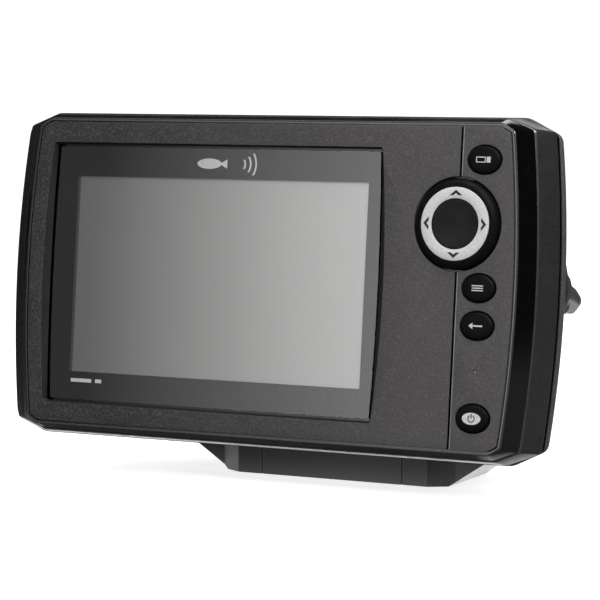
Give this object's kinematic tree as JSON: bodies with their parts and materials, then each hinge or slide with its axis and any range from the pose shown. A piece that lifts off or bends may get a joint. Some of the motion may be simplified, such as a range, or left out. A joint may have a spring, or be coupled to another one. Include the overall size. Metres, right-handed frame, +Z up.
{
  "type": "fish finder",
  "caption": "Sonar display head with a wide screen, oval keys and a direction pad, tilting on a bracket with side knobs.",
  "frame": {"origin": "middle of the bracket's underside, on the surface it is screwed to", "axes": "+Z up, screen faces -Y, +X to the right for a viewer who looks at the screen"},
  "size_m": [0.2004, 0.0972, 0.1243],
  "materials": {
    "bezel_gloss": "polished",
    "face_grey": "fine spark texture",
    "lens_glass": "clear",
    "print_white": "screen printed",
    "mask_black": "screen printed",
    "seal_rubber": "moulded",
    "screen": "polariser",
    "frame_metal": "pressed sheet",
    "tray_plastic": "moulded",
    "screw_steel": "passivated",
    "ribbon_film": "film",
    "board_green": "solder mask",
    "key_rubber": "moulded",
    "ring_white": "moulded",
    "mark_white": "inlaid",
    "mark_black": "inlaid",
    "light_clear": "light pipe",
    "parts_grey": "moulded",
    "shell_grey": "fine spark texture",
    "socket_black": "moulded",
    "pin_brass": "plated",
    "bracket_black": "moulded nylon",
    "knob_rubber": "overmoulded grip"
  },
  "bodies": {
    "bracket": {"gimbal_bracket": "bracket_black", "friction_washers": "seal_rubber", "knob_washers": "screw_steel"},
    "head": {"front_bezel": "bezel_gloss", "face_plate": "face_grey", "display_lens": "lens_glass", "lens_print": "print_white", "lens_mask": "mask_black", "lens_gasket": "seal_rubber", "lcd_panel": "screen", "backlight": "frame_metal", "display_tray": "tray_plastic", "tray_screws": "screw_steel", "display_ribbon": "ribbon_film", "keypad_membrane": "key_rubber", "keypad_board": "board_green", "status_light": "light_clear", "main_board": "board_green", "board_screws": "screw_steel", "shield_cans": "frame_metal", "board_parts": "parts_grey", "beeper": "parts_grey", "card_socket": "frame_metal", "card_door_pin": "screw_steel", "connector_board": "board_green", "board_cable": "ribbon_film", "rear_housing": "shell_grey", "case_seal": "seal_rubber", "case_screws": "screw_steel", "power_socket": "socket_black", "sonar_socket": "socket_black", "accessory_socket": "socket_black", "socket_pins": "pin_brass", "pressure_vent": "parts_grey", "pivot_inserts": "pin_brass"},
    "view_button": {"view_key": "key_rubber", "view_mark": "mark_white"},
    "menu_button": {"menu_key": "key_rubber", "menu_mark": "mark_white"},
    "exit_button": {"exit_key": "key_rubber", "exit_mark": "mark_white"},
    "power_button": {"power_key": "key_rubber", "power_badge": "ring_white", "power_mark": "mark_black"},
    "pad_rocker": {"pad_rocker": "tray_plastic"},
    "pad_top": {"pad_cap": "key_rubber", "pad_ring": "ring_white", "pad_marks": "mark_black"},
    "card_door": {"card_door": "shell_grey"},
    "left_knob": {"left_knob": "knob_rubber", "left_stud": "screw_steel"},
    "right_knob": {"right_knob": "knob_rubber", "right_stud": "screw_steel"}
  },
  "joints": [
    {"name": "head_tilt", "type": "hinge", "parent": "bracket", "child": "head", "pos_m": [0, -0.03, 0.0676], "axis": [-1, 0, 0], "range_deg": [-20, 40]},
    {"name": "view_press", "type": "slide", "parent": "head", "child": "view_button", "axis": [0, 0.9945, -0.1045], "range_m": [0, 0.0009], "stiffness_N_per_m": 300},
    {"name": "menu_press", "type": "slide", "parent": "head", "child": "menu_button", "axis": [0, 0.9945, -0.1045], "range_m": [0, 0.0009], "stiffness_N_per_m": 300},
    {"name": "exit_press", "type": "slide", "parent": "head", "child": "exit_button", "axis": [0, 0.9945, -0.1045], "range_m": [0, 0.0009], "stiffness_N_per_m": 300},
    {"name": "power_press", "type": "slide", "parent": "head", "child": "power_button", "axis": [0, 0.9945, -0.1045], "range_m": [0, 0.0009], "stiffness_N_per_m": 300},
    {"name": "pad_rock_up_down", "type": "hinge", "parent": "head", "child": "pad_rocker", "pos_m": [0.0681, -0.06653, 0.09125], "axis": [1, 0, 0], "range_deg": [-3, 3], "stiffness_Nm_per_rad": 0.05},
    {"name": "pad_rock_left_right", "type": "hinge", "parent": "pad_rocker", "child": "pad_top", "pos_m": [0.0681, -0.06653, 0.09125], "axis": [0, 0.1045, 0.9945], "range_deg": [-3, 3], "stiffness_Nm_per_rad": 0.05},
    {"name": "card_door_swing", "type": "hinge", "parent": "head", "child": "card_door", "pos_m": [-0.076, -0.04232, 0.10821], "axis": [1, 0, 0], "range_deg": [0, 100]},
    {"name": "left_knob_turn", "type": "hinge", "parent": "bracket", "child": "left_knob", "pos_m": [-0.075, -0.03, 0.0676], "axis": [-1, 0, 0], "continuous": true},
    {"name": "right_knob_turn", "type": "hinge", "parent": "bracket", "child": "right_knob", "pos_m": [0.075, -0.03, 0.0676], "axis": [1, 0, 0], "continuous": true}
  ]
}
